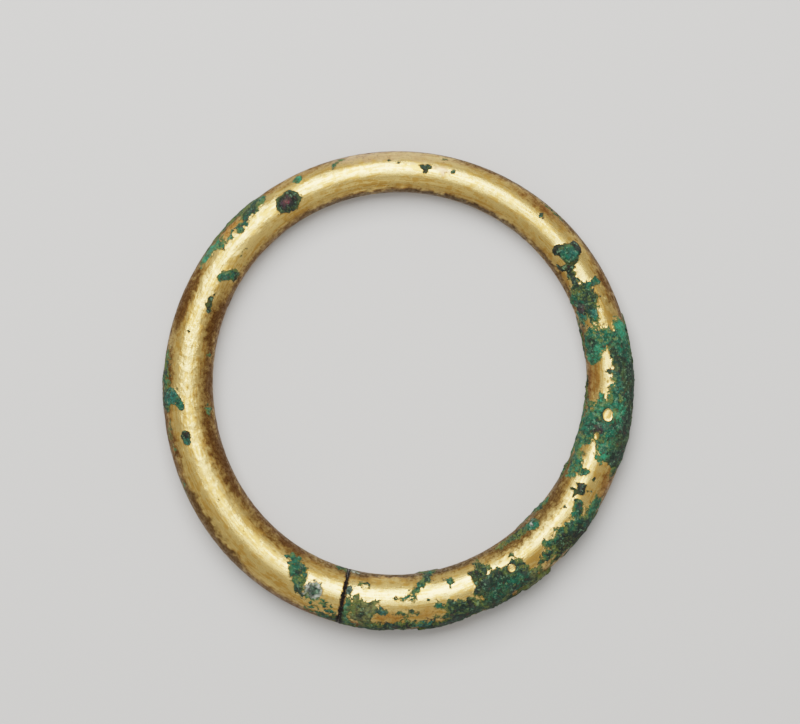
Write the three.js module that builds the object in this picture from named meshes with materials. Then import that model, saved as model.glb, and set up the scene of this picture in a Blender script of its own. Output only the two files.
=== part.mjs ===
// A gilt-bronze bangle: one stout round bar, bent into a ring until its two ends meet in a butt joint.
// Millimetres, +Z up. The bangle lies on its side on z = 0, with the joint towards -Y.
//
// A place on its surface is given by two angles:
//   turn   how far round the ring it is, from the joint, anticlockwise as seen from above
//   lean   how far round the bar it is, from the crest, positive outwards
import * as THREE from "three";
import { mergeVertices } from "three/addons/utils/BufferGeometryUtils.js";

// The ring: the line through the middle of the bar, as a radius about the ring's centre.
const RING_RADIUS = 36.1;
const OVAL = 0.43; // the ring is this much longer each way through the joint, and narrower across
const PINCH = 0.17; // a faint three-sidedness, which pushes the joint out

// The bar: stoutest at the joint, slimmest opposite it.
const BAR_WIDTH = 8.15;
const BAR_SWELL = 1.17;

// The joint: two flat ends with a hair's breadth between them, cut a little askew.
const JOINT_GAP = 0.12;
const JOINT_SKEW = 3; // degrees off the radius
const SKEW_REACH = 36; // degrees of the ring over which the bar's facets turn back square
const ARRIS = 0.3; // the ends' rounded edge

// Facets of the surface.
const SIDES = 28; // round the bar, one of them flat on the ground
const STEPS = 156; // along the bar
const FOOT_DEPTH = Math.cos(Math.PI / SIDES); // the flat foot is this much of the bar's radius below its middle
const WELD = 1e-4; // corners nearer to each other than this are one

// Thick corrosion crust, as low swellings of the surface. Turn and lean are in degrees, and the half-sizes
// along and around the bar and the rise are in millimetres.
const CRUSTS = [
  { name: "joint patch", turn: 6.5, lean: 28, along: 2.4, around: 2.8, rise: 0.15 },
  { name: "outer rim by the joint", turn: 22, lean: 68, along: 9.0, around: 1.8, rise: 0.35 },
  { name: "broad dark patch", turn: 43, lean: 22, along: 5.2, around: 4.4, rise: 0.35 },
  { name: "outer lump", turn: 50.5, lean: 80, along: 3.4, around: 1.8, rise: 0.45 },
  { name: "outer band", turn: 65.5, lean: 45, along: 7.0, around: 2.6, rise: 0.3 },
  { name: "inner band", turn: 87, lean: -57, along: 6.5, around: 1.8, rise: 0.25 },
  { name: "outer sheet", turn: 104, lean: 46, along: 12.0, around: 3.0, rise: 0.35 },
  { name: "inner sheet", turn: 117, lean: -42, along: 3.4, around: 2.2, rise: 0.3 },
  { name: "upper sheet", turn: 131, lean: -25, along: 5.0, around: 2.2, rise: 0.3 },
  { name: "hooked blob", turn: 143.5, lean: 3, along: 2.2, around: 2.2, rise: 0.45 },
  { name: "dark spot", turn: 226, lean: 2, along: 2.2, around: 1.8, rise: 0.2 },
  { name: "outer streak", turn: 242, lean: 60, along: 7.0, around: 1.6, rise: 0.3 },
  { name: "outer tongue", turn: 286, lean: 56, along: 5.0, around: 2.2, rise: 0.3 },
  { name: "slanting strip", turn: 346.5, lean: -6, along: 1.6, around: 3.2, rise: 0.2 },
];
const CRUST_TOP = 0.6; // a swelling is at its full rise out to this share of its half-size
const CRUST_HEM = 1.2; // and has come down to nothing at this share

const bangle = new THREE.Mesh(
  bentBar(),
  new THREE.MeshStandardMaterial({ color: 0xc9a35a, roughness: 0.35, metalness: 1 }),
);
bangle.name = "bangle";
const root = new THREE.Group();
root.add(bangle);
export default root;

// A straight bar of unit radius and length along Y, bent into the ring. Its x ends up pointing out of the
// ring, and its z pointing up.
function bentBar() {
  const bar = new THREE.CylinderGeometry(1, 1, 1, SIDES, STEPS);
  bar.rotateY(Math.PI / SIDES);
  const corners = bar.getAttribute("position");
  const corner = new THREE.Vector3();
  for (let i = 0; i < corners.count; i++) {
    corner.fromBufferAttribute(corners, i);
    const step = Math.round((corner.y + 1 / 2) * STEPS);
    placeOnRing(corner, step);
    corners.setXYZ(i, corner.x, corner.y, corner.z);
  }
  bar.deleteAttribute("normal");
  bar.deleteAttribute("uv");
  const merged = mergeVertices(bar, WELD);
  merged.computeVertexNormals();
  return merged;
}

// Moves one corner of the straight bar to its place on the bangle.
function placeOnRing(corner, step) {
  const turn = turnOfStep(step);
  const lean = Math.atan2(corner.x, corner.z);
  const atEnd = step === 0 || step === STEPS;
  const radius = barRadius(turn) + crustRise(turn, lean) - (atEnd ? ARRIS : 0);
  const out = corner.x * radius;
  const reach = ringRadius(turn) + out;
  const heading = turn - Math.PI / 2 + skew(turn, out) / reach;
  const isFoot = corner.z < WELD - FOOT_DEPTH;
  const height = barRadius(turn) * FOOT_DEPTH + corner.z * radius;
  corner.set(reach * Math.cos(heading), reach * Math.sin(heading) + centring(), isFoot ? 0 : height);
}

// How far round the ring a step of the bar is. The first and last steps are the ends' rounded edges.
function turnOfStep(step) {
  const end = JOINT_GAP / 2 / RING_RADIUS;
  const shoulder = end + ARRIS / RING_RADIUS;
  if (step === 0) return end;
  if (step === STEPS) return 2 * Math.PI - end;
  return THREE.MathUtils.lerp(shoulder, 2 * Math.PI - shoulder, (step - 1) / (STEPS - 2));
}

function ringRadius(turn) {
  return RING_RADIUS + OVAL * Math.cos(2 * turn) + PINCH * Math.cos(3 * turn);
}

function barRadius(turn) {
  return (BAR_WIDTH + BAR_SWELL * Math.cos(turn)) / 2;
}

// How far along the ring the askew cut moves a point that lies this far outwards from the bar's middle.
function skew(turn, out) {
  const reach = THREE.MathUtils.degToRad(SKEW_REACH);
  const fromJoint = Math.min(turn, 2 * Math.PI - turn);
  const share = 1 - THREE.MathUtils.smoothstep(fromJoint, 0, reach);
  return share * out * Math.tan(THREE.MathUtils.degToRad(JOINT_SKEW));
}

// The shift along Y that puts the origin midway between the ring's outermost points.
function centring() {
  const joint = ringRadius(0) + barRadius(0);
  const opposite = ringRadius(Math.PI) + barRadius(Math.PI);
  return (joint - opposite) / 2;
}

// How far the crust lifts the surface at a place, the thickest patch counting.
function crustRise(turn, lean) {
  let rise = 0;
  for (const crust of CRUSTS) {
    const along = (angleFrom(crust.turn, turn) * ringRadius(turn)) / crust.along;
    const around = (angleFrom(crust.lean, lean) * barRadius(turn)) / crust.around;
    const distance = Math.hypot(along, around);
    rise = Math.max(rise, crust.rise * (1 - THREE.MathUtils.smoothstep(distance, CRUST_TOP, CRUST_HEM)));
  }
  return rise;
}

// The shorter way round from an angle in degrees to one in radians, in radians.
function angleFrom(degrees, angle) {
  const turned = angle - THREE.MathUtils.degToRad(degrees);
  return Math.atan2(Math.sin(turned), Math.cos(turned));
}
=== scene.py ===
"""A worn gilt-bronze bangle, lying on a pale floor.

The bangle is one round bar, bent into a ring until its ends meet. A place on its surface is given by two
angles: the turn, how far round the ring it is from the joint, and the lean, how far round the bar it is
from the crest, positive outwards. Sizes are in millimetres until the mesh is made, and then in metres.
"""
import logging
import math
from dataclasses import dataclass
from enum import Enum
from typing import Any, Union

import bpy
from mathutils import Matrix, Vector


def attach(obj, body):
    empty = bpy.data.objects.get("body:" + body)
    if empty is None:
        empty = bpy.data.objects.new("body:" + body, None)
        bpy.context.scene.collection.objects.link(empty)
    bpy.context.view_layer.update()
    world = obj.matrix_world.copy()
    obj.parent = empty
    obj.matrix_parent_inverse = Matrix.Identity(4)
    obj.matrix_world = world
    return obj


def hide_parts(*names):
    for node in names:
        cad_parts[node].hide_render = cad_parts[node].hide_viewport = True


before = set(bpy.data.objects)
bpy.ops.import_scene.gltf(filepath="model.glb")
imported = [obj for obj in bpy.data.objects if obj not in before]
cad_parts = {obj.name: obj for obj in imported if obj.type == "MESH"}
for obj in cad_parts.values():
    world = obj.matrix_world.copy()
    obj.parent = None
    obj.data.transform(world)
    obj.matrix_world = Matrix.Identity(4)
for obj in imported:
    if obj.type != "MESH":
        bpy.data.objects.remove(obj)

LOG = logging.getLogger("bangle")
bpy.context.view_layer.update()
MM = 0.001
TURN = 2 * math.pi
Triple = tuple[float, float, float]
Range = tuple[float, float]
Row = tuple[Any, ...]  # the values of one patch, in the order of its fields
VECTOR = "FLOAT_VECTOR"


class Wire:
    """One output of a node. Python's operators on it add Math nodes to the same tree."""

    def __init__(self, socket: bpy.types.NodeSocket) -> None:
        """Wraps an output socket."""
        self.socket = socket

    def maths(self, operation: str, *others: "Value", flip: bool = False) -> "Wire":
        """Adds a Math node.

        Args:
            operation: the Math node's operation.
            others: the other values, each a wire or a number.
            flip: True where this wire is the second value.

        Returns:
            The node's result.
        """
        values = (*others, self) if flip else (self, *others)
        return Bench(self.socket.id_data).node(
            "ShaderNodeMath", {"operation": operation}, dict(enumerate(values))
        )

    def __add__(self, other: "Value") -> "Wire":
        """self + other."""
        return self.maths("ADD", other)

    __radd__ = __add__

    def __sub__(self, other: "Value") -> "Wire":
        """self - other."""
        return self.maths("SUBTRACT", other)

    def __rsub__(self, other: "Value") -> "Wire":
        """other - self."""
        return self.maths("SUBTRACT", other, flip=True)

    def __mul__(self, other: "Value") -> "Wire":
        """self * other."""
        return self.maths("MULTIPLY", other)

    __rmul__ = __mul__

    def __truediv__(self, other: "Value") -> "Wire":
        """self / other."""
        return self.maths("DIVIDE", other)


Value = Union[Wire, float]
Sizes = dict[str, Wire]


@dataclass(frozen=True)
class Grain:
    """The settings of one noise: lumps to the millimetre, finer octaves and their strength.

    The place where it is read is first stretched along the bar, and then shifted.
    """

    scale: float
    detail: float = 3.0
    rough: float = 0.6
    stretch: float = 1.0
    shift: Triple = (0, 0, 0)


class Bench:
    """A node tree that nodes are set out on."""

    def __init__(self, tree: bpy.types.NodeTree) -> None:
        """Works on a shader's or a modifier's node tree."""
        self.tree = tree

    def node(
        self,
        kind: str,
        settings: dict[str, Any] | None = None,
        sockets: dict[int | str, Any] | None = None,
        output: int | str = 0,
    ) -> Wire:
        """Adds one node.

        Args:
            kind: the node's type.
            settings: its own properties, set before its sockets.
            sockets: a value or a wire for each input, by its name or number.
            output: the name or number of the output that is wanted.

        Returns:
            The wanted output.
        """
        made = self.tree.nodes.new(kind)
        for name, setting in (settings or {}).items():
            setattr(made, name, setting)
        for name, value in (sockets or {}).items():
            if isinstance(value, Wire):
                self.tree.links.new(value.socket, made.inputs[name])
            else:
                made.inputs[name].default_value = value
        return Wire(made.outputs[output])

    def vector(self, operation: str, *values: Any, output: int | str = 0) -> Wire:
        """Adds a Vector Math node on values that are wires or triples, and gives its result."""
        return self.node("ShaderNodeVectorMath", {"operation": operation}, dict(enumerate(values)), output)

    def scale(self, vector: Wire, factor: Value) -> Wire:
        """Makes a vector longer or shorter, or a colour brighter or darker."""
        return self.node("ShaderNodeVectorMath", {"operation": "SCALE"}, {0: vector, "Scale": factor})

    def combine(self, x: Value, y: Value, z: Value) -> Wire:
        """Makes a vector from its three parts."""
        return self.node("ShaderNodeCombineXYZ", {}, {0: x, 1: y, 2: z})

    def split(self, vector: Wire) -> tuple[Wire, ...]:
        """Gives the three parts of a vector."""
        first = self.node("ShaderNodeSeparateXYZ", {}, {0: vector})
        return tuple(Wire(output) for output in first.socket.node.outputs)

    def ramp(self, value: Value, low: float, high: float) -> Wire:
        """Changes smoothly from 0 where the value is low to 1 where it is high, and not beyond them."""
        return self.node(
            "ShaderNodeMapRange",
            {"interpolation_type": "SMOOTHSTEP"},
            {"Value": value, "From Min": low, "From Max": high, "To Min": 0.0, "To Max": 1.0},
        )

    def blend(self, share: Value, first: Any, second: Any) -> Wire:
        """Mixes two vectors, the second coming in as the share rises from 0 to 1."""
        return self.node("ShaderNodeMix", {"data_type": "VECTOR"}, {0: share, 4: first, 5: second}, 1)

    def tint(self, share: Value, first: Any, second: Any) -> Wire:
        """Mixes two colours, wires or triples, the second coming in as the share rises from 0 to 1."""
        first, second = (colour if isinstance(colour, Wire) else (*colour, 1.0) for colour in (first, second))
        return self.node("ShaderNodeMix", {"data_type": "RGBA"}, {0: share, 6: first, 7: second}, 2)

    def noise(self, place: Wire, grain: Grain) -> Wire:
        """Adds a Noise Texture.

        Args:
            place: where it is read, in millimetres.
            grain: its settings.

        Returns:
            The noise, from about -0.5 to 0.5.
        """
        if grain.stretch != 1.0:
            place = self.vector("MULTIPLY", place, (grain.stretch, 1.0, 1.0))
        if any(grain.shift):
            place = self.vector("ADD", place, grain.shift)
        sockets = {"Vector": place, "Scale": grain.scale, "Detail": grain.detail, "Roughness": grain.rough}
        return self.node("ShaderNodeTexNoise", {}, sockets) - 0.5

    def read(self, name: str, kind: str = "FLOAT") -> Wire:
        """Reads an attribute of the mesh, in a modifier's tree."""
        return self.node("GeometryNodeInputNamedAttribute", {"data_type": kind}, {"Name": name}, "Attribute")

    def attribute(self, name: str, output: str = "Fac") -> Wire:
        """Reads an attribute of the mesh, in a shader's tree."""
        return self.node("ShaderNodeAttribute", {"attribute_name": name}, {}, output)

    def sample(self, cloud: Wire, index: Wire, name: str, kind: str = "FLOAT") -> Wire:
        """Reads an attribute of one point of a cloud."""
        return self.node(
            "GeometryNodeSampleIndex",
            {"data_type": kind, "domain": "POINT"},
            {"Geometry": cloud, "Value": self.read(name, kind), "Index": index},
        )

    def store(self, mesh: Wire, name: str, value: Any, kind: str = "FLOAT") -> Wire:
        """Stores a value for each corner of the mesh under a name, and gives the mesh."""
        return self.node(
            "GeometryNodeStoreNamedAttribute",
            {"data_type": kind, "domain": "POINT"},
            {"Geometry": mesh, "Name": name, "Value": value},
        )


def linear(red: int, green: int, blue: int) -> Triple:
    """Turns a screen colour, each part from 0 to 255, into Blender's linear one."""
    parts = (part / 255 for part in (red, green, blue))
    return tuple(part / 12.92 if part < 0.04045 else ((part + 0.055) / 1.055) ** 2.4 for part in parts)


class Tone(Enum):
    """The colours that the bangle's crust and stains have."""

    MALACHITE = linear(44, 128, 92)
    VERDIGRIS = linear(24, 88, 66)
    TEAL = linear(30, 92, 80)
    DARK = linear(32, 54, 42)
    BLACK = linear(24, 28, 24)
    OLIVE = linear(94, 97, 56)
    PALE = linear(214, 218, 202)
    GREY = linear(88, 100, 92)
    PLUM = linear(62, 42, 50)
    WINE = linear(110, 48, 60)
    BROWN = linear(90, 60, 28)
    RUST = linear(118, 76, 36)
    DULL = linear(92, 69, 38)
    SMOKY = linear(74, 60, 40)
    ORANGE = linear(188, 128, 62)
    PINK = linear(206, 170, 132)


class Layer(Enum):
    """What a patch does to the surface, as the share it has of each of three layers.

    A crust patch lies on the gilding, and a bare one opens the crust down to it. A stain is soft-edged, and
    so is a clean place, which wear has kept free of grime.
    """

    CRUST = (1.0, 0.0, 0.0)
    BARE = (0.0, 1.0, 0.0)
    STAIN = (0.0, 0.0, 1.0)
    CLEAN = (0.0, 0.0, 0.0)


@dataclass(frozen=True)
class Patch:
    """An oval patch on the surface, whose edge the weathering then breaks up.

    The turn, lean and tilt are in degrees, and the half-sizes along and around the bar in millimetres. A
    crust patch rises by its rise, in millimetres. A stain's or clean place's rise is its strength, from 0
    to 1. Broken is the share of it that is speckle, and fray is how ragged its edge is.
    """

    turn: float
    lean: float
    along: float
    around: float
    tone: Tone = Tone.DARK
    rise: float = 0.16
    fray: float = 1.0
    tilt: float = 0.0
    broken: float = 0.0
    layer: Layer = Layer.CRUST


def bare(turn: float, lean: float, along: float, around: float, tilt: float = 0, fray: float = 1) -> Row:
    """A place where the crust has come away, down to the gilding."""
    return turn, lean, along, around, Tone.DARK, 0, fray, tilt, 0, Layer.BARE


def patches() -> list[Patch]:
    """Every patch, in the order in which they are painted."""
    soft = ((Layer.STAIN, GRIME), (Layer.CLEAN, WORN), (Layer.STAIN, STAINS))
    return [Patch(*row, layer=layer) for layer, rows in soft for row in rows] + [Patch(*row) for row in CRUST]


# Short names for the tones that the crust has most of.
M, V, T, D, K = Tone.MALACHITE, Tone.VERDIGRIS, Tone.TEAL, Tone.DARK, Tone.BLACK
O, P, G = Tone.OLIVE, Tone.PALE, Tone.GREY

# Grime and stains on the gilding. The smoky rows along the inner edge also darken it as painted shade.
GRIME = [
    (300, -58, 26, 3.7, Tone.BROWN, 0.85),
    (335, -60, 14, 3, Tone.BROWN, 0.8),
    (267, -56, 10, 3.6, Tone.BROWN, 0.85),
    (20, -68, 18, 1.4, Tone.SMOKY, 0.6),
    (60, -50, 17, 3.3, Tone.DULL, 0.85),
    (78, -54, 9, 2.6, Tone.DULL, 0.7),
    (107, -44, 5, 2.6, Tone.RUST, 0.6),
    (140, -66, 16, 1.1, Tone.DULL, 0.9),
    (175, -70, 20, 1.2, Tone.SMOKY, 1),
    (215, -74, 16, 0.8, Tone.SMOKY, 0.6),
    (242, -70, 11, 1.2, Tone.BROWN, 0.65),
    (80, 46, 5, 1.6, Tone.RUST, 0.7),
    (131, 52, 8, 1.7, Tone.BROWN, 0.75),
    (158, 46, 8, 1.4, Tone.RUST, 0.75),
    (172, 60, 5, 0.9, Tone.BROWN, 0.6),
]

# Places that wear has kept free of grime, where the painted flank shade is left off too. The tone in their
# rows does not show.
WORN = [
    (202, -30, 24, 2, D, 0.9),
    (194, 46, 12, 2.6, D, 0.8),
    (13, -52, 6, 1.6, D, 0.85),
]

# More grime and stains, painted after those places.
STAINS = [
    (197, 46, 13, 1.4, Tone.PINK, 0.4),
    (205, 62, 6, 1, Tone.PINK, 0.6),
    (222, 58, 8, 1.3, Tone.RUST, 0.7),
    (241.5, 45, 3.4, 1, Tone.ORANGE, 0.85),
    (263, 52, 10, 2.4, Tone.BROWN, 0.95),
    (283, 54, 9, 2.1, Tone.BROWN, 0.85),
    (300, 54, 8, 1.8, Tone.BROWN, 0.8),
    (322, 55, 14, 1.8, Tone.DULL, 0.9),
    (345, 72, 6, 0.8, Tone.BROWN, 0.6),
    (13.5, 29, 3.4, 1.3, Tone.ORANGE, 0.75),
    (22.5, 27, 2.4, 1.2, Tone.ORANGE, 0.6),
    (183.5, 14, 2.6, 0.9, Tone.PINK, 0.4),
    (146, 44, 4.2, 0.16, Tone.BROWN, 0.9, 1, 8),
]

# The crust, area by area, a patch in each row. A later patch's tone covers an earlier one's.
CRUST = [
    # Slanting strip.
    (344.4, -36, 1.7, 0.85, V),
    (342.2, -28, 0.7, 0.45, V, 0.12, 0.6),
    (346.7, -10, 2.9, 1.2, V, 0.2, 1, 48),
    (347.8, -22, 1, 0.9, V, 0.2, 1, 30),
    (348.8, 14, 0.9, 1),
    (347.5, -14, 0.9, 0.7, D, 0.16, 1, 40),
    # Pale ring.
    (351.7, 23, 1.4, 0.5, K, 0.16, 0.5, -8),
    (352.7, 6, 1.5, 1.5, P, 0.22, 0.6),
    (352.7, 6, 1.08, 1.02, G, 0.1, 0.6),
    (352.7, 6, 0.7, 0.64, D, 0.1, 0.6),
    (352.9, 6, 0.32, 0.3, G, 0.1, 0.4),
    (353.2, -15, 0.5, 0.2, G, 0.1, 1, 0, 0.3),
    # Speckle by the joint.
    (355.4, 42, 2.3, 1.7, V, 0.1, 1.2, 0, 0.85),
    (357, 62, 1.8, 0.9, V, 0.12, 1, 0, 0.5),
    (358.4, -72, 1.1, 0.9),
    (2, 30, 0.65, 2.9, V, 0.14, 0.7, 4),
    (359.6, 60, 0.9, 1.2, K, 0.16, 0.6),
    (1.7, 62, 1, 1.2, T, 0.16, 0.8),
    (1.2, 58, 0.5, 1.4, K, 0.16, 0.6),
    (1.9, -18, 0.6, 0.85, G, 0.12, 0.4),
    (1.9, -18, 0.25, 0.4, D, 0.12, 0.4),
    (2.3, -72, 1.4, 0.45, P, 0.1, 0.6),
    # Olive patch.
    (6.2, 16, 2.2, 1.5, O, 0.14, 0.6),
    (6, 36, 1.9, 1.6, O, 0.14, 0.7),
    (8, 8, 1.1, 1, O, 0.14, 0.7),
    (4, 8, 0.8, 0.8, O, 0.14, 0.7),
    (4.4, -4, 0.7, 0.7, O, 0.1, 0.8),
    (8.8, -2, 0.8, 0.5, O, 0.1, 0.8, 0, 0.1),
    (3.4, 66, 0.8, 0.6, T),
    (10.8, 18, 0.95, 0.75, T, 0.16, 0.7),
    (5.6, -34, 0.8, 0.3, D, 0.1, 1, 0, 0.7),
    # Line and spots.
    (15.9, -9, 1.3, 0.24, V, 0.1, 0.7, 6, 0.15),
    (14.2, -12, 0.3, 0.25, D, 0.1, 0.5),
    (18.6, 20, 0.8, 0.6, D, 0.16, 0.5),
    (15.6, 22, 0.8, 0.5, D, 0.1, 0.8, 0, 0.2),
    (17.3, 30, 0.6, 0.4, D, 0.1, 1, 0, 0.2),
    (20, 27, 0.4, 0.3, V, 0.1, 0.6),
    (23.2, -3, 0.42, 0.32, D, 0.1, 0.5),
    (25.6, 7, 0.42, 0.32, D, 0.1, 0.5),
    # Outer rim by the joint.
    (6.5, 80, 5, 1),
    (13.5, 60, 4.8, 1.15, D, 0.3),
    (17.4, 50, 1, 1, K),
    (21.2, 58, 1.6, 1, T, 0.3),
    (23, 86, 2.4, 1.6, D, 0.4),
    (27.5, 72, 2.8, 1.5, D, 0.3),
    (23.6, 44, 0.8, 0.4, K, 0.12, 1, 20, 0.2),
    # Diagonal streak.
    (18.9, -14, 0.95, 0.4, D, 0.16, 1, -10),
    (21.4, -32, 2.6, 0.75, V, 0.16, 1, -50),
    (23.9, -52, 1.3, 1.1, D, 0.16, 1, -60),
    (24.6, -74, 1, 0.8, V),
    (18.6, -27, 0.4, 0.2, D, 0.1),
    (29.9, -29, 1.1, 0.75, V, 0.16, 1, 20),
    # Dark edge before the broad patch.
    (26.3, 18, 1.3, 0.6, V, 0.16, 1, 40),
    (28.4, 18, 1, 0.8),
    (30.5, 30, 2.2, 1.2, D, 0.16, 1, 10),
    (27, 42, 1.6, 0.7, D, 0.16, 1, 0, 0.15),
    (32, 54, 3.6, 1.9, D, 0.3),
    (34, 30, 1.5, 0.8, K, 0.16, 1, 20),
    # Broad dark patch.
    (37.8, -19, 1.25, 1.3, K, 0.2),
    (39.2, -40, 0.75, 1.6),
    (40.3, -28, 1.1, 0.9),
    (40.2, 12, 3, 2.6, D, 0.35),
    (45.6, 14, 3.4, 2.2, D, 0.35),
    (49.6, 0, 0.95, 1.2, D, 0.3),
    (42, 54, 4, 2.2, D, 0.35),
    (48.5, 44, 2.8, 1.8, D, 0.35),
    (52, 42, 1.5, 0.9, O, 0.3, 1, 0, 0.1),
    (50.5, 78, 3.2, 1.7, O, 0.45),
    (37.6, 0, 0.9, 1.2, K, 0.2),
    (43.7, 4, 0.9, 0.7, K, 0.3, 1, 30),
    (46.5, 32, 1.6, 0.9, V, 0.35, 1, 20),
    (41.5, 30, 2.2, 1, V, 0.3, 1, -20, 0.3),
    (49, -23, 0.6, 0.45, D, 0.12, 0.5),
    bare(47.2, 2, 0.66, 0.64, fray=0.15),
    bare(41, -13, 0.36, 0.22, fray=0.4),
    bare(44.6, 64, 0.9, 0.4),
    bare(54.6, 62, 1, 0.4),
    # Inner band before the star.
    (49, -60, 1.8, 0.7, O, 0.12, 1, 0, 0.5),
    (54, -56, 2.3, 1, D, 0.16, 1, 0, 0.1),
    (54.5, -56, 0.9, 0.5, K),
    (59.2, -47, 1.4, 1.25, V, 0.2, 0.6, 20),
    (59.7, -50, 0.75, 0.12, P, 0.2, 0.3, -35),
    (65.5, -72, 2.2, 0.8, V, 0.16, 1, 0, 0.1),
    (79, -82, 3, 0.8, K, 0.2),
    # Outer band.
    (56.5, 33, 1.4, 0.9, V, 0.2),
    (56.7, 35, 0.6, 0.4, K, 0.2),
    (56.3, 18, 0.35, 0.2, D, 0.1, 0.5),
    (58.6, 12, 0.9, 0.95, V, 0.25, 0.7, 30),
    (62, 34, 2.6, 1.7, K, 0.3),
    (61.8, 14, 1.5, 0.6, V, 0.12, 1, 5),
    (65.2, 15, 2.2, 0.7, V, 0.12, 1, 8),
    (66.5, 38, 3, 1.7, D, 0.3),
    (59.5, 56, 2.4, 0.9, D, 0.2, 1, 0, 0.2),
    (62, 50, 1.9, 1, K, 0.3),
    (67.5, 58, 4.4, 1.7, K, 0.3),
    (69.5, 22, 1.7, 0.9, V, 0.25, 1, -25),
    (71.4, 13, 1.15, 1.2, V, 0.3, 0.7),
    (71.3, 14, 0.65, 0.65, D, 0.3),
    (73.3, 49, 2.5, 1.3, V, 0.2),
    (70, 48, 1.6, 1, V, 0.25),
    (69.2, -13, 0.3, 0.22, D, 0.1, 0.5),
    # Black star.
    (75.9, -3, 1.15, 0.85, K, 0.2, 0.6, 10),
    (73.9, -9, 0.9, 0.34, K, 0.14, 0.4, 12),
    (74.7, -17, 0.36, 0.8, K, 0.14, 0.4, -12),
    (76.8, -14, 0.4, 0.45, K, 0.14, 0.5),
    (76.2, 14, 0.32, 0.5, K, 0.12, 0.5),
    (75.7, -3, 0.25, 0.2, G, 0.2, 0.2),
    (80.2, -15, 0.8, 0.8, V, 0.12, 1, 0, 0.25),
    (80.4, -27, 0.8, 0.5, V, 0.12, 1, 0, 0.35),
    (79.7, 14, 0.4, 0.36, K, 0.12, 0.5),
    (84.2, 16, 0.25, 0.22, D, 0.1, 0.5),
    # Inner band.
    (78.5, -46, 1.3, 1.1, M, 0.16, 1, 30, 0.15),
    (82.5, -47, 2.2, 1.3, V, 0.25),
    (84, -56, 0.9, 0.4, G, 0.2),
    (87.5, -60, 2.6, 0.9, V, 0.2),
    (89.5, -42, 1.6, 0.8, M, 0.2, 1, 0, 0.2),
    # Sheet over the whole bar.
    (87.4, 14, 1.9, 1.4, M, 0.3),
    (89, -3, 1.5, 0.8, M, 0.2),
    (87.6, 36, 2, 1.7, D, 0.35),
    (93.5, -42, 3, 2.2, V, 0.25),
    (93, -12, 2.4, 1.4, D, 0.3),
    (93.2, 20, 3.2, 2, V, 0.35),
    (97.5, 12, 3.4, 2.6, V, 0.3),
    (99.6, -24, 2.4, 1, M, 0.2, 1, 8, 0.1),
    (98, -50, 1.8, 1.2, V, 0.14, 1, 0, 0.55),
    (102, 8, 2.2, 1.3, V, 0.25),
    (94, 56, 7.5, 2.2, D, 0.35),
    (92.5, -16, 1, 0.7, Tone.PLUM, 0.3),
    (104, -80, 3.6, 0.7, K, 0.2),
    bare(90.6, -17, 0.55, 0.45),
    bare(97.4, 0, 1.05, 0.8, fray=0.12),
    bare(102.9, -8, 0.75, 0.3, fray=0.6),
    # Outer sheet.
    (106.5, 26, 3.4, 1.5, V, 0.35),
    (110.5, 26, 3.2, 1.5, D, 0.35),
    (115.5, 20, 2.8, 1.4, D, 0.35),
    (105, 56, 5.5, 2.2, D, 0.35),
    (111, 50, 4, 2, D, 0.35),
    (117, 46, 3, 2, V, 0.3),
    (120.3, 46, 1.6, 1.5, M, 0.25),
    (119.2, 6, 1.2, 1.1, V, 0.2),
    (109.3, 0, 0.45, 0.8, D, 0.2, 0.6),
    (104.4, 4, 1.1, 0.5, V, 0.2),
    (105, 20, 1.8, 0.8, T, 0.3),
    (98, 26, 1.6, 0.8, M, 0.3, 1, 0, 0.2),
    bare(109.9, 6, 0.36, 0.34, fray=0.4),
    bare(116.2, -5, 0.4, 0.4, 40),
    # Inner sheet.
    (114.2, -43, 1.7, 1.7, M, 0.25, 0.7),
    (117.8, -42, 2.5, 1.8, V, 0.3),
    (117, -39, 1.4, 0.8, K, 0.3),
    (116.5, -17, 1.5, 0.8, M, 0.2),
    (118.6, -8, 1.3, 0.9, V, 0.2),
    (121, -34, 0.9, 1.3, V, 0.25),
    # Upper sheet.
    (125.5, -54, 1.7, 1, T, 0.2),
    (126.5, -18, 2.6, 1, D, 0.25),
    (123.4, -13, 1.3, 0.65, V, 0.2),
    (128.8, -38, 1.5, 1.5, D, 0.3),
    (128.6, -44, 0.8, 0.8, Tone.PLUM, 0.3),
    (131.5, -48, 1.4, 1.4, V, 0.3),
    (131.6, -12, 2.2, 1.3, D, 0.3),
    (129.2, 3, 1.5, 0.7, D, 0.25),
    (133.2, 13, 0.8, 1.35, V, 0.25, 0.7),
    (133.2, 28, 0.8, 0.65, V, 0.25, 0.6),
    (135.6, -27, 2, 0.95, D, 0.25),
    (126, -12, 0.9, 0.5, T, 0.25),
    (138, -20, 1.5, 0.75, K, 0.2),
    (120.9, -2, 0.3, 0.25, M, 0.12),
    # Hooked blob.
    (139.7, -16, 1, 0.95, K, 0.3, 0.7),
    (140.7, -32, 0.62, 1.2, K, 0.3, 0.3, 12),
    (141.5, -44, 0.75, 0.42, K, 0.3, 0.3),
    (142.9, 3, 2, 1.6, K, 0.45, 0.25),
    (145.6, -14, 1, 1.1, K, 0.45, 0.25),
    (142.9, 27, 1.35, 1.1, K, 0.4, 0.25, 15),
    (142.9, 4, 1.45, 1.3, V, 0.5, 0.4),
    (142.4, 8, 0.7, 0.6, T, 0.5, 0.4),
    (144.4, -4, 0.4, 0.3, T, 0.5, 0.4),
    bare(143.3, -31, 0.8, 0.3, 5, fray=0.3),
    # Slim side of the ring.
    (153, 62, 2, 0.5, D, 0.14),
    (155.3, 23, 0.48, 0.42, D, 0.12, 0.4),
    (154.5, 17, 0.2, 0.35, D, 0.12, 0.4),
    (146.2, -60, 0.6, 0.14, K, 0.06, 0.5),
    (177.4, -66, 0.6, 0.14, K, 0.06, 0.5),
    (180.7, 16, 0.42, 0.45, D, 0.14, 0.2),
    (188, 8, 0.5, 0.8, D, 0.16, 0.4),
    (187.9, 15, 1.05, 0.6, D, 0.16, 0.4),
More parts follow.
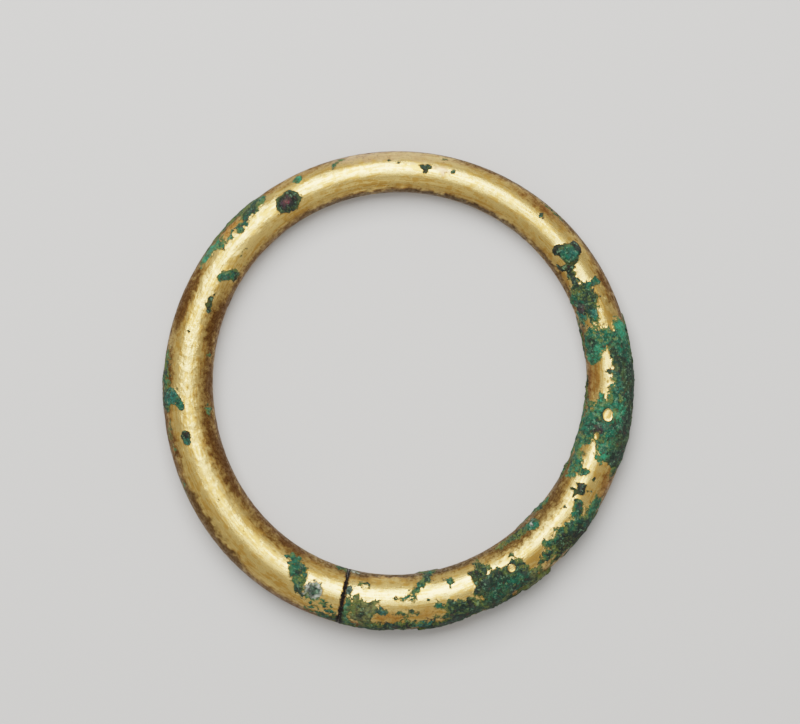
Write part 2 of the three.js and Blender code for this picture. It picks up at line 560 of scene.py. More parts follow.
    (189.3, 18, 0.5, 0.24, D, 0.14, 0.4, -15),
    (195.2, 23, 0.42, 0.32, D, 0.1, 0.5),
    (197.6, 30, 0.5, 0.3, D, 0.12, 0.3, -20),
    (183.7, 51, 0.5, 0.25, O, 0.1, 0.6),
    (204.5, -60, 0.6, 0.13, K, 0.05, 0.5),
    (214.7, -56, 0.95, 0.14, K, 0.05, 0.5),
    (209.4, 58, 0.7, 0.55, V, 0.16, 0.7),
    (211.2, 47, 0.9, 0.35, V, 0.12, 0.7, -35),
    # Round spots.
    (221.3, 48, 0.95, 0.95, M, 0.2, 0.5),
    (225.3, -22, 0.8, 0.6, D, 0.16, 0.5),
    (226, 1, 2.35, 1.8, D, 0.22, 0.45),
    (226.1, 1, 1.9, 1.4, K, 0.22, 0.45),
    (226.3, 3, 1, 0.8, Tone.PLUM, 0.22, 0.45),
    (226.3, 4, 0.48, 0.4, Tone.WINE, 0.22, 0.45),
    (229.9, -14, 0.26, 0.26, D, 0.1, 0.4),
    # Outer streak.
    (232.8, 54, 1.5, 1.2, V, 0.12, 1, 0, 0.1),
    (236, 46, 2.1, 1.5),
    (239.6, 30, 2.2, 0.55, V, 0.12, 1, 0, 0.1),
    (243.6, 31, 1, 0.45, V, 0.12, 1, 0, 0.2),
    (246.8, 42, 1, 1.4, V, 0.16, 1, 30),
    (250.2, 53, 2.4, 1.1, M, 0.16, 1, 8),
    (241, 80, 7, 0.9, D, 0.12),
    (240.1, 14, 0.45, 0.36, D, 0.14, 0.4),
    (240.8, 20, 0.35, 0.25, V, 0.1, 0.6),
    # Dented side of the ring.
    (251, -38, 1.1, 1.3, D, 0.25, 0.6, 20),
    (251.2, -36, 0.9, 1, K, 0.16, 0.7, 20),
    (252.2, -26, 1, 0.9, V, 0.2, 0.6, 30),
    (253.1, -15, 1.2, 0.75, V, 0.2, 0.6, 40),
    (245.7, -24, 0.38, 0.3, D, 0.1, 0.5),
    (244, -20, 0.6, 0.12, O, 0.05, 0.7),
    (259.3, -18, 0.6, 0.24, D, 0.12, 0.5),
    (261.7, -15, 1.35, 0.62, K, 0.16, 0.4, -12),
    (263.8, -23, 0.5, 0.45, K, 0.14, 0.5),
    (270.3, 12, 0.3, 0.28, K, 0.1, 0.4),
    (275.5, -51, 0.5, 0.45, V, 0.12),
    (292.3, -53, 0.9, 0.65, V, 0.16, 1, -15),
    (298.4, 14, 1.1, 0.85, K, 0.16, 0.3),
    (300.1, 15, 0.6, 0.75, T, 0.2, 0.3),
    (295, 51, 0.8, 0.5, D, 0.12, 1, 0, 0.1),
    (297.2, 62, 0.9, 0.4, O, 0.12, 1, 0, 0.1),
    (301.2, 51, 0.5, 0.35, V, 0.1, 1, 0, 0.1),
    (311, 68, 1.6, 0.3, D, 0.1, 1, 0, 0.1),
    (318, -3, 0.26, 0.3, O, 0.05, 0.6),
    (328.6, -5, 0.24, 0.22, O, 0.05, 0.6),
    # Outer tongue.
    (278.5, 64, 1.9, 0.9, V, 0.16, 1, 0, 0.1),
    (282.3, 62, 2.2, 1, D, 0.2),
    (288, 56, 2.4, 1.4, D, 0.3, 0.8),
    (287.9, 36, 1.35, 1.4, T, 0.25, 0.7, -25),
    (289.8, 18, 1.3, 0.75, V, 0.2, 0.4, -30),
    (284.6, 54, 0.8, 0.6, V, 0.25),
    # Far side, outside.
    (16, 112, 6.5, 1.8),
    (44, 118, 7, 2.4, D, 0.25),
    (66, 106, 6, 2, V, 0.2),
    (97, 112, 9, 2.4, D, 0.25),
    (117, 100, 4.5, 2, V, 0.2),
    (140, 128, 1.6, 1.2, V),
    (203, 142, 1.5, 1),
    (238, 106, 5, 1.4, V),
    (262, 130, 1.3, 0.8),
    (286, 104, 4.5, 1.6),
    (334, 126, 2, 1.1, V),
    # Far side, inside and below.
    (24, -100, 2.4, 1.2),
    (60, -104, 5, 1.3, V),
    (92, -98, 6.5, 1.9, V),
    (120, -96, 4.5, 1.6),
    (164, -118, 1.4, 0.8),
    (228, -124, 1.8, 1, V),
    (310, -112, 1.5, 0.9),
    (350, -120, 2.2, 1.2, V),
    (78, 168, 4, 1.6, V),
    (104, -160, 3, 1.4),
    (300, 172, 2.4, 1.3),
]


# What each corner of the bar is given first: its turn and lean in radians, and its place on the straight
# bar in millimetres.
MARKS = (("turn", "FLOAT"), ("lean", "FLOAT"), ("bar", VECTOR))

# The layers that the patches paint, with what they are before the first patch.
LAYERS = (
    ("crust", "FLOAT", -3.0),
    ("rise", "FLOAT", 0.0),
    ("stain_and_shade", "FLOAT", 0.0),
    ("fray", "FLOAT", 1.0),
    ("tone", VECTOR, Tone.DARK.value),
    ("stain_and_shade_tone", VECTOR, Tone.DULL.value),
)

# What the tree stores and the finish doesn't read.
TREE_ONLY = ("inset", "share", "ragged", "distance", "grain", "turn", "lean", "rise", "UVMap")

# The stretch over which a part of a patch comes in, in millimetres inside its edge.
TONE_EDGE = (-0.3, 0.35)
FRAY_EDGE = (-0.7, -0.25)
RISE_EDGE = (0.1, 0.45)
LUMP_EDGE = (0.1, 0.4)
BARE_EDGE = (-0.3, 0.05)
SOFT_EDGE = (1.15, 0.35)  # for stains and clean places, as shares of their half-sizes
LEAST_FRAY = 0.3  # a tone's edge is no crisper than at this fray
TONE_NIBBLE = 4.0  # how far the grain moves a tone's edge
DEEPEST = 9.0  # millimetres, further inside an edge than any corner is
SPECKLE = 6.0  # how far the grain breaks up a wholly broken patch, in millimetres
SPECKLE_TOP = 0.3  # how far inside its edge a half broken patch reaches, in millimetres
LEAST_BROKEN = 0.01  # a less broken patch is whole

# The noises in the bar's shape.
EDGE_GRAIN = Grain(1.5, rough=0.7)
RAGGED_ALONG = Grain(0.9)
RAGGED_AROUND = Grain(0.9, shift=(31, 7, 5))
DENTS = Grain(0.8, stretch=0.6)
LUMPS = Grain(0.95, 4.0, 0.8)

# The noises in its finish: the crust's edge, then the gilding, then the crust.
NIBBLE = Grain(1.5, 5.0, 0.85)
STREAKS = Grain(3.2, 4.0, 0.65, stretch=0.09)
BROAD = Grain(0.35, stretch=0.4)
MOTTLE = Grain(0.9, 6.0, 0.7)
GRIT = Grain(1.7, 5.0, 0.75, shift=(5, 2, 11))
SMEARS = Grain(1.5, 5.0, 0.8, stretch=0.45)
SCUFFS = Grain(1.2, stretch=0.7)
CLOUDS = Grain(0.75, 4.0, 0.7)
GRAINS = Grain(1.5, 4.0, 0.85, shift=(3, 8, 1))
VEINS = Grain(1.1, 5.0, 0.8, shift=(9, 4, 2))
FLECKS = Grain(1.6, 4.0, 0.8, shift=(1, 14, 7))
DRIFTS = Grain(0.5, 4.0, 0.75, shift=(6, 3, 12))


@dataclass
class Bar:
    """The round bar, bent into a ring. Its tree of nodes follows the same rules as the solid.

    The sizes are in millimetres and the angles in degrees. The foot's depth is the solid's, which has 28
    sides, as a share of the bar's radius. The dented side is where the dents come in, are full, begin to
    fade and end. The grimy shaded flank is where the darkening of the bar's sides comes in and is full, as
    the lean's sine: real grime, and painted shade where the sides would otherwise mirror the pale floor.
    """

    ring_radius: float = 36.1
    oval: float = 0.43
    pinch: float = 0.17
    width: float = 8.15
    swell: float = 1.17
    joint_gap: float = 0.02
    joint_skew: float = 3.0
    skew_reach: float = 36.0
    joint_reach: float = 3.0
    arris: float = 0.14
    foot_depth: float = math.cos(math.pi / 28)
    sides: int = 104
    steps: int = 936
    end_rings: int = 5
    arris_steps: int = 3
    dent_depth: float = 0.19
    dented_side: tuple[float, ...] = (205.0, 240.0, 280.0, 345.0)
    dents_elsewhere: float = 0.3
    dents_hidden: float = 0.6
    grimy_shaded_flank: Range = (0.5, 0.97)
    flank_grime_and_shade: float = 0.85
    lump_height: float = 0.75
    ragged: float = 3.4
    seed: float = 12.0

    def centring(self) -> float:
        """How far the ring's centre lies from the origin, which is midway between its outermost points."""
        return self.pinch + self.swell / 2

    def inputs(self) -> dict[str, float]:
        """The tree's named inputs and their values."""
        return {
            "Ring radius": self.ring_radius,
            "Oval": self.oval,
            "Pinch": self.pinch,
            "Bar width": self.width,
            "Bar swell": self.swell,
            "Dent depth": self.dent_depth,
            "Lump height": self.lump_height,
            "Ragged": self.ragged,
            "Seed": self.seed,
        }

    def tree(self, patches: int, finish: bpy.types.Material) -> bpy.types.NodeTree:
        """Sets out the nodes that turn a cloud of patches into the weathered bar.

        Args:
            patches: how many patches the cloud holds.
            finish: the material of the surface.

        Returns:
            The tree, for a modifier on the cloud.
        """
        tree = bpy.data.node_groups.new("bent bar", "GeometryNodeTree")
        tree.interface.new_socket("Patches", in_out="INPUT", socket_type="NodeSocketGeometry")
        for name, value in self.inputs().items():
            socket = tree.interface.new_socket(name, in_out="INPUT", socket_type="NodeSocketFloat")
            socket.default_value = value
        tree.interface.new_socket("Bangle", in_out="OUTPUT", socket_type="NodeSocketGeometry")
        bench = Bench(tree)
        cloud = bench.node("NodeGroupInput")
        sizes = {output.name: Wire(output) for output in cloud.socket.node.outputs if output.name}

        cylinder = {
            "Vertices": self.sides,
            "Side Segments": self.steps,
            "Fill Segments": self.end_rings,
            "Radius": 1.0,
            "Depth": 1.0,
        }
        mesh = bench.node("GeometryNodeMeshCylinder", {"fill_type": "TRIANGLE_FAN"}, cylinder)
        mesh = self.marked(bench, mesh, sizes)
        mesh = self.primed(bench, mesh, sizes)
        mesh = self.painted(bench, mesh, cloud, patches, sizes)
        mesh = self.bent(bench, mesh, sizes)
        mesh = bench.node("GeometryNodeSetShadeSmooth", {}, {"Geometry": mesh})
        mesh = bench.node("GeometryNodeRealizeInstances", {}, {"Geometry": mesh})
        mesh = bench.node("GeometryNodeSetMaterial", {}, {"Geometry": mesh, "Material": finish})
        last = tree.nodes.new("NodeGroupOutput")
        tree.links.new(mesh.socket, last.inputs["Bangle"])
        return tree

    def marked(self, bench: Bench, mesh: Wire, sizes: Sizes) -> Wire:
        """Gives each corner of a straight cylinder its place on the bar.

        Args:
            bench: where the nodes go.
            mesh: a cylinder along Z, of unit radius and length, whose x is up and whose y is out.
            sizes: the tree's inputs.

        Returns:
            The mesh with "turn", "lean", "share" of the way out to the surface, "inset" of the ends'
            rounded edge, distance "to_joint" and place on the straight "bar".
        """
        up, out, along = bench.split(bench.node("GeometryNodeInputPosition"))
        step = (along + 0.5) * self.steps
        from_end = step.maths("MINIMUM", self.steps - step)
        shoulder = (from_end / self.arris_steps).maths("MINIMUM", 1.0) * (TURN / 4)
        between_arrises = TURN * self.ring_radius - self.joint_gap - 2 * self.arris
        pitch = between_arrises / (self.steps - 2 * self.arris_steps)
        past_arris = (from_end - self.arris_steps).maths("MAXIMUM", 0.0) * pitch
        run = (1 - shoulder.maths("COSINE")) * self.arris + past_arris
        near = (run + self.joint_gap / 2) / self.ring_radius
        turn = near + along.maths("GREATER_THAN", 0.0) * (TURN - near * 2)
        marks = {
            "turn": turn,
            "lean": out.maths("ARCTAN2", up),
            "share": bench.vector("LENGTH", bench.combine(up, out, 0.0), output="Value"),
            "inset": (1 - shoulder.maths("SINE")) * self.arris,
            "to_joint": run.maths("MINIMUM", self.joint_reach),
        }
        for name, value in marks.items():
            mesh = bench.store(mesh, name, value)
        thick = self.bar_radius(turn, sizes)
        bar = bench.combine(turn * sizes["Ring radius"], out * thick, up * thick)
        return bench.store(mesh, "bar", bar, VECTOR)

    def bar_radius(self, turn: Wire, sizes: Sizes) -> Wire:
        """The bar's radius at a turn in radians."""
        return (sizes["Bar width"] + sizes["Bar swell"] * turn.maths("COSINE")) * 0.5

    def ring_line(self, turn: Wire, sizes: Sizes) -> Wire:
        """The radius at which the middle of the bar runs, at a turn in radians."""
        oval, pinch = sizes["Oval"] * (turn * 2).maths("COSINE"), sizes["Pinch"] * (turn * 3).maths("COSINE")
        return sizes["Ring radius"] + oval + pinch

    def primed(self, bench: Bench, mesh: Wire, sizes: Sizes) -> Wire:
        """Gives the bar its noises, and its layers as they are before the first patch.

        Args:
            bench: where the nodes go.
            mesh: the marked cylinder.
            sizes: the tree's inputs.

        Returns:
            The mesh with "grain", "ragged", the layers and "dented".
        """
        turn, lean, bar = (bench.read(name, kind) for name, kind in MARKS)
        drift = bench.vector("ADD", bar, bench.combine(sizes["Seed"], sizes["Seed"], 0.0))
        thick = self.bar_radius(turn, sizes)
        along = bench.noise(drift, RAGGED_ALONG) * sizes["Ragged"] / sizes["Ring radius"]
        around = bench.noise(drift, RAGGED_AROUND) * sizes["Ragged"] / thick
        mesh = bench.store(mesh, "grain", bench.noise(drift, EDGE_GRAIN))
        mesh = bench.store(mesh, "ragged", bench.combine(along, around, thick), VECTOR)
        for name, kind, value in LAYERS:
            mesh = bench.store(mesh, name, value, kind)
        # The bar's sides are painted darker towards the flanks: real grime, and painted shade where they
        # would otherwise mirror the pale floor.
        sideways = lean.maths("SINE").maths("ABSOLUTE")
        mesh = bench.store(mesh, "stain_and_shade", bench.ramp(sideways, *self.grimy_shaded_flank) * self.flank_grime_and_shade)
        come, full, fade, end = (math.radians(angle) for angle in self.dented_side)
        return bench.store(mesh, "dented", bench.ramp(turn, come, full) * bench.ramp(turn, end, fade))

    def painted(self, bench: Bench, mesh: Wire, cloud: Wire, patches: int, sizes: Sizes) -> Wire:
        """Paints the patches on the bar, one after another.

        Args:
            bench: where the nodes go.
            mesh: the primed cylinder.
            cloud: one point for each patch, with what describes it as attributes.
            patches: how many patches there are.
            sizes: the tree's inputs.

        Returns:
            The mesh with its layers painted. Its "crust" is how far inside the crust's edge a corner is, in
            millimetres.
        """
        start = bench.tree.nodes.new("GeometryNodeRepeatInput")
        end = bench.tree.nodes.new("GeometryNodeRepeatOutput")
        start.pair_with_output(end)
        start.inputs["Iterations"].default_value = patches
        bench.tree.links.new(mesh.socket, start.inputs["Geometry"])
        mesh, index = Wire(start.outputs["Geometry"]), Wire(start.outputs["Iteration"])
        place, size, tone, layer = (
            bench.sample(cloud, index, name, VECTOR) for name in ("place", "size", "colour", "layer")
        )
        broken, most, fray = (bench.sample(cloud, index, name) for name in ("broken", "most", "fray"))
        patch_turn, patch_lean, tilt = bench.split(place)
        half_along, half_around, rise = bench.split(size)
        crusts, bares, stains = bench.split(layer)

        turn, lean = bench.read("turn"), bench.read("lean")
        ragged_turn, ragged_lean, thick = bench.split(bench.read("ragged", VECTOR))
        x = (turn + ragged_turn * fray - patch_turn).maths("WRAP", math.pi, -math.pi) * sizes["Ring radius"]
        y = (lean + ragged_lean * fray - patch_lean).maths("WRAP", math.pi, -math.pi) * thick
        cosine, sine = tilt.maths("COSINE"), tilt.maths("SINE")
        ahead = (x * cosine + y * sine) / half_along
        aside = (y * cosine - x * sine) / half_around
        distance = bench.vector("LENGTH", bench.combine(ahead, aside, 0.0), output="Value")
        mesh = bench.store(mesh, "distance", distance)

        distance, grain = bench.read("distance"), bench.read("grain")
        whole = ((1 - distance) * half_along.maths("MINIMUM", half_around)).maths("MINIMUM", most)
        inside = whole + grain * broken
        crisp = inside / fray.maths("MAXIMUM", LEAST_FRAY) + grain * TONE_NIBBLE
        cover = bench.ramp(crisp, *TONE_EDGE) * crusts
        swell = bench.ramp(inside, *RISE_EDGE) * rise * crusts
        soft = bench.ramp(distance, *SOFT_EDGE)
        dyed = soft * stains
        kept = 1 - soft * rise * (1 - crusts - bares - stains)
        before = (bench.read(name, kind) for name, kind, _ in LAYERS)
        crust, lift, stained_and_shaded, frayed, tones, stain_and_shade_tones = before
        grown = crust.maths("MAXIMUM", inside * crusts - DEEPEST * (1 - crusts))
        changes = (
            grown.maths("MINIMUM", DEEPEST * (1 - bares) - inside * bares),
            lift.maths("MAXIMUM", swell) * (1 - bench.ramp(inside, *BARE_EDGE) * bares),
            stained_and_shaded.maths("MAXIMUM", rise * dyed).maths("MINIMUM", kept),
            frayed + (fray - frayed) * bench.ramp(inside, *FRAY_EDGE) * (crusts + bares),
            bench.blend(cover, tones, tone),
            bench.blend(dyed, stain_and_shade_tones, tone),
        )
        for (name, kind, _), value in zip(LAYERS, changes):
            mesh = bench.store(mesh, name, value, kind)
        bench.tree.links.new(mesh.socket, end.inputs["Geometry"])
        return Wire(end.outputs["Geometry"])

    def bent(self, bench: Bench, mesh: Wire, sizes: Sizes) -> Wire:
        """Bends the straight bar into the ring, with its dents and crust.

        Args:
            bench: where the nodes go.
            mesh: the painted cylinder.
            sizes: the tree's inputs.

        Returns:
            The bangle, in metres.
        """
        turn, lean, bar = (bench.read(name, kind) for name, kind in MARKS)
        share, inset, rise = bench.read("share"), bench.read("inset"), bench.read("rise")
        drift = bench.vector("ADD", bar, bench.combine(0.0, sizes["Seed"], 0.0))
        dented = self.dents_elsewhere + bench.read("dented")
        dents = bench.noise(drift, DENTS) * sizes["Dent depth"] * dented
        crusty = bench.ramp(bench.read("crust"), *LUMP_EDGE)
        lumps = bench.noise(drift, LUMPS) * sizes["Lump height"] * crusty * bench.read("fray")
        thick = self.bar_radius(turn, sizes)
        radius = thick - inset + rise + dents * (1 - crusty * self.dents_hidden) + lumps
        out = lean.maths("SINE") * share * radius
        up = lean.maths("COSINE") * share * radius
        reach = self.ring_line(turn, sizes) + out
        heading = turn - TURN / 4 + self.skew(bench, turn, out) / reach
        x = reach * heading.maths("COSINE")
        y = reach * heading.maths("SINE") + self.centring()
        z = (thick * self.foot_depth + up).maths("MAXIMUM", 0.0)
        place = bench.scale(bench.combine(x, y, z), MM)
        return bench.node("GeometryNodeSetPosition", {}, {"Geometry": mesh, "Position": place})

    def skew(self, bench: Bench, turn: Wire, out: Wire) -> Wire:
        """How far along the ring the askew cut of the ends moves a place that is this far out."""
        near = bench.ramp(turn.maths("MINIMUM", TURN - turn), math.radians(self.skew_reach), 0.0)
        return near * out * math.tan(math.radians(self.joint_skew))


@dataclass(frozen=True)
class GiltBronze:
    """Worn fire gilding on bronze, with its grime and its corrosion crust, and painted shade on its flanks,
    in its joint and along the crust's edge.

    The edges of the crust and of the joint's dirt and painted shade are the stretch over which they come in,
    and their nibble is how far a noise moves it, in millimetres. The other edges are ranges of a noise.
    """

    gold: Triple = linear(246, 202, 120)
    deep_gold: Triple = linear(214, 158, 78)
    speck: Triple = linear(70, 46, 24)
    green_dust: Triple = linear(108, 146, 112)
    dark_oxide_and_edge_shade: Triple = linear(22, 34, 28)
    red_oxide: Triple = linear(70, 44, 36)
    thin_crust: Triple = linear(112, 128, 58)
    slate: Triple = linear(54, 62, 56)
    olive_film: Triple = linear(86, 98, 44)
    joint_dirt_and_shade: Triple = linear(17, 11, 8)
    polish: float = 0.28
    crust_roughness: float = 0.7
    specular: float = 0.2
    crust_edge: Range = (-0.02, 0.03)
    crust_nibble: float = 2.4
    joint_edge: Range = (0.48, 0.24)
    joint_nibble: float = 1.8
    joint_depth: float = 0.3
    deep_edge: Range = (-0.08, 0.16)
    speck_edge: Range = (-0.02, 0.06)
    speck_strength: float = 0.45
    grime_and_shade_strength: float = 1.12
    most_grime_and_shade: float = 0.97

    def material(self) -> bpy.types.Material:
        """Makes the material.

        Returns:
            The material, which reads the mesh's attributes.
        """
        made = bpy.data.materials.new("gilt_bronze")
        made.use_nodes = True
        made.node_tree.nodes.clear()
        bench = Bench(made.node_tree)
        bar = bench.attribute("bar", "Vector")
        nibble = bench.noise(bar, NIBBLE)
        edge = bench.attribute("crust") + nibble * bench.attribute("fray") * self.crust_nibble
        crusted = bench.ramp(edge, *self.crust_edge)
        # The joint is painted dark: dirt in it, and painted shade of the gap and the ends' rounded edges.
        seam = bench.ramp(bench.attribute("to_joint") + nibble * self.joint_nibble, *self.joint_edge)
        mask = crusted.maths("MAXIMUM", seam)
        gilt_colour, gilt_rough, gilt_height = self.gilding(bench, bar)
        crust_colour, crust_rough, crust_height = self.crust(bench, bar, edge)
        height = gilt_height + (crust_height - gilt_height) * mask - seam * self.joint_depth
        sockets = {
            "Base Color": bench.tint(seam, bench.tint(crusted, gilt_colour, crust_colour), self.joint_dirt_and_shade),
            "Metallic": 1 - mask,
            "Roughness": gilt_rough + (crust_rough - gilt_rough) * mask,
            "Normal": bench.node("ShaderNodeBump", {}, {"Height": height, "Distance": MM, "Strength": 1.0}),
            "Specular IOR Level": self.specular,
        }
        shader = bench.node("ShaderNodeBsdfPrincipled", {}, sockets)
        last = made.node_tree.nodes.new("ShaderNodeOutputMaterial")
        made.node_tree.links.new(shader.socket, last.inputs["Surface"])
        return made

    def gilding(self, bench: Bench, bar: Wire) -> tuple[Wire, Wire, Wire]:
        """Sets out the gilding, with its burnish lines, grime, painted flank shade and specks.

        Args:
            bench: where the nodes go.
            bar: the place on the straight bar, in millimetres.

        Returns:
            Its colour, roughness and height in millimetres.
        """
        dented, stained_and_shaded = bench.attribute("dented"), bench.attribute("stain_and_shade")
        streaks, broad, mottle, grit, smears, scuffs = (
            bench.noise(bar, grain) for grain in (STREAKS, BROAD, MOTTLE, GRIT, SMEARS, SCUFFS)
        )
        deep = bench.ramp(mottle * 1.3 + streaks * 1.5 + broad * 0.7, *self.deep_edge)
        wash = (stained_and_shaded * (1.0 + mottle * 1.3 + broad * 1.2 + smears * 0.6)).maths("MAXIMUM", 0.0)
        # Grime and stains, with the painted shade of the flanks, pull the gold towards their tone.
        grime_and_shade = (wash * self.grime_and_shade_strength).maths("MINIMUM", self.most_grime_and_shade)
        specks = bench.ramp(grit + (stained_and_shaded - 0.75) * 0.2, *self.speck_edge)
        colour = bench.tint(deep, self.gold, self.deep_gold)
        colour = bench.tint(grime_and_shade, colour, bench.attribute("stain_and_shade_tone", "Color"))
        colour = bench.tint(specks * self.speck_strength, colour, self.speck)
        rough = self.polish + streaks * 0.3 + mottle * 0.3 + dented * 0.04 + wash * 0.2 + specks * 0.25
        gritty = grit * (0.012 + wash * 0.11 + dented * 0.03)
        height = streaks * 0.022 + gritty + scuffs * (0.2 + dented) * 0.085 - specks * 0.03
        return colour, rough, height

    def crust(self, bench: Bench, bar: Wire, edge: Wire) -> tuple[Wire, Wire, Wire]:
        """Sets out the crust, with its grains, veins and films.

        Args:
            bench: where the nodes go.
            bar: the place on the straight bar, in millimetres.
            edge: how far inside the crust's edge it is, in millimetres.

        Returns:
            Its colour, roughness and height in millimetres.
        """
        clouds, grains, veins, flecks, drifts = (
            bench.noise(bar, grain) for grain in (CLOUDS, GRAINS, VEINS, FLECKS, DRIFTS)
        )
        ragged = bench.attribute("fray").maths("MINIMUM", 1.0)
        # Painted shade and light on the crust's grains: its tone is darker where the bumps of its grains and
        # clouds lie low and lighter where they stand high.
        lit = 0.29 + bench.ramp(grains, -0.1, 0.13) * 0.74 + bench.ramp(clouds, -0.08, 0.08) * 0.35
        colour = bench.attribute("tone", "Color")
        colour = bench.tint(bench.ramp(drifts, 0.02, 0.09) * 0.55, colour, self.slate)
        colour = bench.tint(bench.ramp(drifts, -0.02, -0.09) * ragged * 0.28, colour, self.olive_film)
        colour = bench.scale(colour, lit)
        # Films over it, the last a dark oxide rim that is partly painted shade along the crust's raised edge:
        # what each follows, where it comes in and is full, its strength and its colour.
        for value, low, high, strength, tone in (
            (veins, 0.03, 0.07, 0.8, self.dark_oxide_and_edge_shade),
            (flecks, 0.08, 0.12, 0.6, self.green_dust),
            (flecks, -0.08, -0.12, 0.65, self.red_oxide),
            (edge + clouds * 3.0, 0.5, 0.1, ragged * 0.45, self.thin_crust),
            # Dark oxide along the crust's edge, and painted shade where the crust steps down to the gilding.
            (edge, 0.16, 0.02, 0.4, self.dark_oxide_and_edge_shade),
        ):
            colour = bench.tint(bench.ramp(value, low, high) * strength, colour, tone)
        rough = self.crust_roughness + clouds * 0.3 + grains * 0.3
        height = clouds * 0.2 + grains * 0.55 + flecks * 0.15 + 0.05
        return colour, rough, height


@dataclass
class Bangle:
    """The bangle: the bar, its finish and its patches, in the order in which they are painted.

    The joint lies at the turn counted_from of the patches' own count, in degrees.
    """

    bar: Bar
    finish: GiltBronze
    patches: list[Patch]
    counted_from: float = 0.6

    def cloud(self) -> bpy.types.Object:
        """Makes a cloud with a point for each patch.

        Returns:
            Its object, with what describes the patches as attributes.
        """
        mesh = bpy.data.meshes.new("bangle_visual")
        mesh.from_pydata([(index, 0.0, 0.0) for index in range(len(self.patches))], [], [])
        columns = {
            "place": [map(math.radians, (p.turn - self.counted_from, p.lean, p.tilt)) for p in self.patches],
            "size": [(p.along, p.around, p.rise) for p in self.patches],
            "colour": [p.tone.value for p in self.patches],
            "layer": [p.layer.value for p in self.patches],
        }
        for name, rows in columns.items():
            attribute = mesh.attributes.new(name, VECTOR, "POINT")
            attribute.data.foreach_set("vector", [part for row in rows for part in row])
        numbers = {
            "broken": [p.broken * SPECKLE for p in self.patches],
            "most": [SPECKLE_TOP * (1 / max(p.broken, LEAST_BROKEN) - 1) for p in self.patches],
            "fray": [p.fray for p in self.patches],
        }
        for name, values in numbers.items():
            mesh.attributes.new(name, "FLOAT", "POINT").data.foreach_set("value", values)
        made = bpy.data.objects.new("bangle_visual", mesh)
        bpy.context.collection.objects.link(made)
        return made

    def build(self) -> bpy.types.Object:
        """Builds the bangle as one plain mesh in metres.

        Returns:
            Its object, at the origin.
        """
        made = self.cloud()
        modifier = made.modifiers.new("bent bar", "NODES")
        modifier.node_group = self.bar.tree(len(self.patches), self.finish.material())
        values = self.bar.inputs()
        for item in modifier.node_group.interface.items_tree:
            if item.name in values and item.in_out == "INPUT":
                modifier[item.identifier] = values[item.name]
        evaluated = made.evaluated_get(bpy.context.evaluated_depsgraph_get())
        mesh = bpy.data.meshes.new_from_object(evaluated)
        made.modifiers.clear()
        made.data = mesh
        for name in TREE_ONLY:
            if name in mesh.attributes:
                mesh.attributes.remove(mesh.attributes[name])
        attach(made, "root")
        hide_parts("bangle")
        return made


@dataclass(frozen=True)
class Softbox:
    """A soft light that faces the bangle.

    It hangs this far towards the picture's right and up and above the floor. These and its size are in
    metres, and its power is in watts.
    """

    name: str
    right: float
    up: float
    height: float
    size: Range
    power: float

    def hang(self, right: Vector, up: Vector) -> None:
        """Hangs the light.

        Args:
            right: the picture's right, on the floor.
            up: the picture's up, on the floor.
        """
        light = bpy.data.lights.new(self.name, "AREA")
        light.shape = "RECTANGLE"
        light.size, light.size_y = self.size
        light.energy = self.power
        place = up * self.up + right * self.right + Vector((0, 0, self.height))
        lamp = bpy.data.objects.new(self.name, light)
        lamp.matrix_world = Matrix.Translation(place) @ place.to_track_quat("Z", "Y").to_matrix().to_4x4()
        bpy.context.collection.objects.link(lamp)


SOFTBOXES = (
    Softbox("key", -0.07, 0.28, 0.54, (0.46, 0.45), 6.1),
    Softbox("overhead", -0.03, -0.02, 0.6, (0.2, 0.24), 0.35),
    Softbox("low fill", 0.09, -0.5, 0.53, (0.5, 0.3), 0.17),
    Softbox("low rim", 0.1, 0.75, 0.16, (0.5, 0.2), 0.2),
)


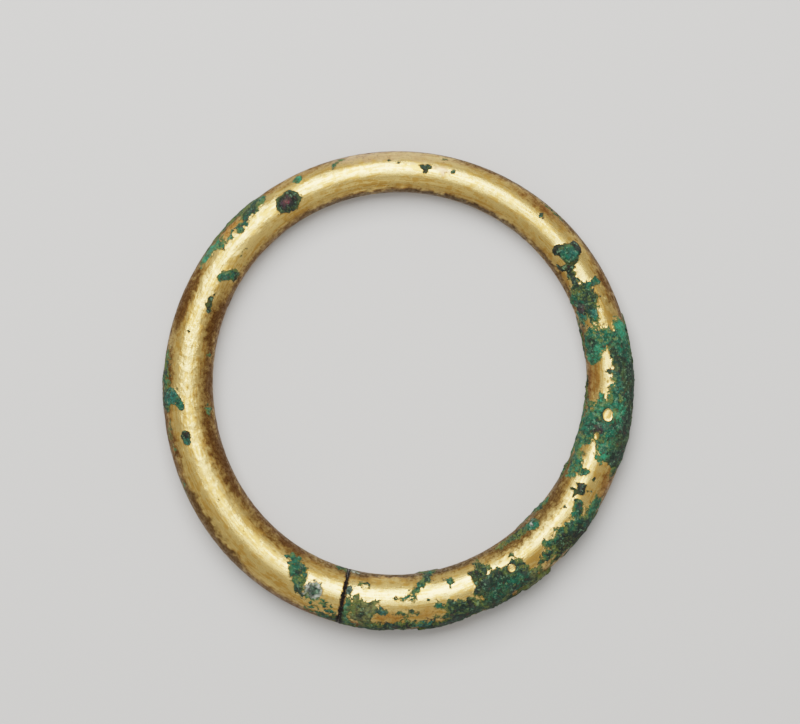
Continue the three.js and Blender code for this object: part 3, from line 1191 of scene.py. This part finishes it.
@dataclass
class Studio:
    """The pale floor, the soft lights and the camera, which looks straight down.

    The picture's scale and turn, and where the ring's centre lies in it, were measured on the photo, in
    pixels and degrees.
    """

    floor_half: float = 1.5
    floor_tone: Triple = (0.62, 0.61, 0.59)
    floor_roughness: float = 0.9
    room_tone: Triple = (1.0, 0.98, 0.95)
    room_strength: float = 0.42
    bangle_height: float = 0.0045
    pixels_per_metre: float = 5900.0
    image_width: int = 800
    lens: float = 180.0
    picture_turn: float = 104.6
    ring_centre: Range = (0.0, 0.000755)
    ring_pixel: Range = (398.08, 385.95)
    image_centre: Range = (400.0, 362.0)

    def build(self) -> None:
        """Sets up the floor, the lights, the room and the camera."""
        self.floor()
        for softbox in SOFTBOXES:
            softbox.hang(*self.picture_axes())
        self.room()
        self.camera()
        bpy.context.scene.view_settings.view_transform = "Filmic"
        bpy.context.scene.view_settings.look = "Medium Contrast"

    def picture_axes(self) -> tuple[Vector, Vector]:
        """The picture's right and up, as directions on the floor."""
        up = math.radians(self.picture_turn)
        return Vector((math.sin(up), -math.cos(up), 0)), Vector((math.cos(up), math.sin(up), 0))

    def floor(self) -> None:
        """Lays the pale floor."""
        mesh = bpy.data.meshes.new("floor")
        half = self.floor_half
        corners = [(-half, -half, 0), (half, -half, 0), (half, half, 0), (-half, half, 0)]
        mesh.from_pydata(corners, [], [(0, 1, 2, 3)])
        floor = bpy.data.objects.new("floor", mesh)
        bpy.context.collection.objects.link(floor)
        paint = bpy.data.materials.new("floor paint")
        paint.use_nodes = True
        shader = paint.node_tree.nodes["Principled BSDF"]
        shader.inputs["Base Color"].default_value = (*self.floor_tone, 1)
        shader.inputs["Roughness"].default_value = self.floor_roughness
        mesh.materials.append(paint)

    def room(self) -> None:
        """Sets the room's dim light."""
        world = bpy.data.worlds.new("room")
        bpy.context.scene.world = world
        world.use_nodes = True
        room = world.node_tree.nodes["Background"]
        room.inputs["Color"].default_value = (*self.room_tone, 1)
        room.inputs["Strength"].default_value = self.room_strength

    def camera(self) -> None:
        """Hangs the camera straight above, turned and placed as the picture is."""
        right, up = self.picture_axes()
        camera = bpy.data.cameras.new("camera")
        camera.lens = self.lens
        away = self.image_width / self.pixels_per_metre / camera.sensor_width * self.lens
        across = (self.image_centre[0] - self.ring_pixel[0]) / self.pixels_per_metre
        upward = (self.ring_pixel[1] - self.image_centre[1]) / self.pixels_per_metre
        place = Vector((*self.ring_centre, self.bangle_height + away)) + right * across + up * upward
        axes = Matrix((right, up, Vector((0, 0, 1)))).transposed().to_4x4()
        eye = bpy.data.objects.new("camera", camera)
        eye.matrix_world = Matrix.Translation(place) @ axes
        bpy.context.collection.objects.link(eye)
        bpy.context.scene.camera = eye


def main() -> None:
    """Builds the studio and the bangle in it."""
    logging.basicConfig(level=logging.INFO, format="%(name)s: %(message)s")
    Studio().build()
    LOG.info("studio ready")
    made = Bangle(Bar(), GiltBronze(), patches()).build()
    triangles = sum(len(face.vertices) - 2 for face in made.data.polygons)
    LOG.info("%s: %d triangles", made.name, triangles)


if __name__ == "__main__":
    main()
